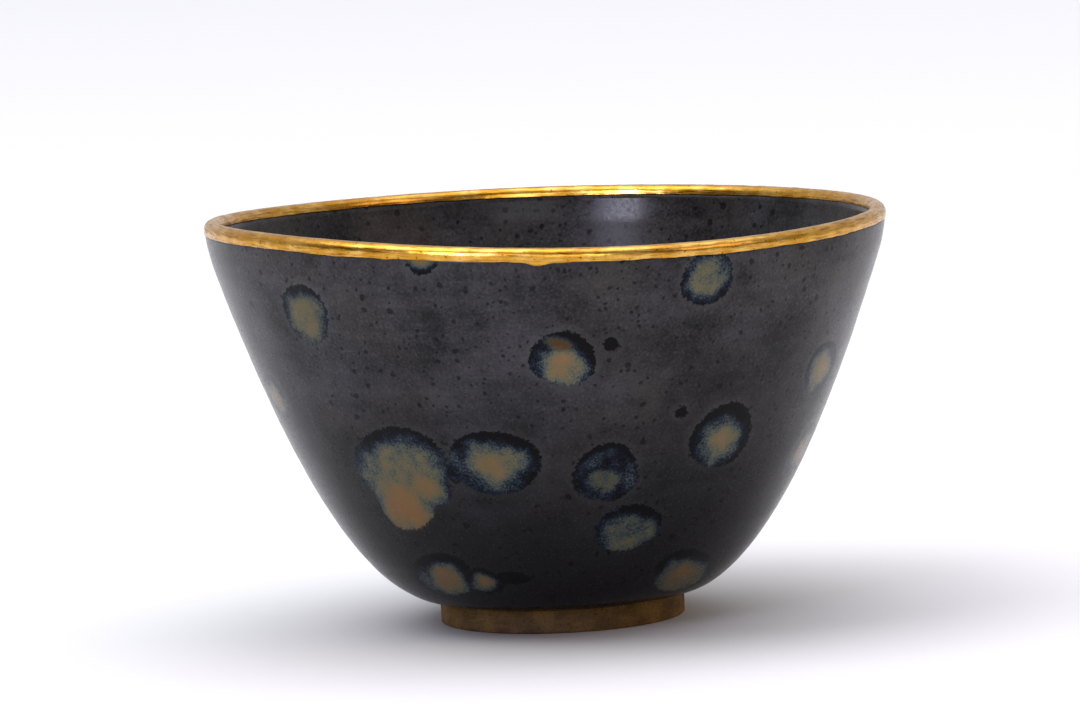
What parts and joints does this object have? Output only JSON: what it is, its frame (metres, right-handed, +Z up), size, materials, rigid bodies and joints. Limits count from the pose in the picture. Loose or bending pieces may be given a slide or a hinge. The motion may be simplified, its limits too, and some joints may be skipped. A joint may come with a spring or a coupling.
{
  "type": "tenmoku tea bowl",
  "caption": "Wide tea bowl on a small unglazed foot ring, with dark oil-spot glaze inside and out and a thin metal band folded over the lip.",
  "frame": {"origin": "middle of the foot ring's underside, on the surface that the bowl stands on", "axes": "+Z up through the mouth, -Y towards the side that the picture shows, +X to its right"},
  "size_m": [0.1198, 0.1198, 0.0734],
  "materials": {
    "oil_spot_glaze": "satin",
    "gilt_metal": "burnished"
  },
  "bodies": {
    "root": {"bowl_body": "oil_spot_glaze", "rim_band": "gilt_metal"}
  },
  "joints": []
}
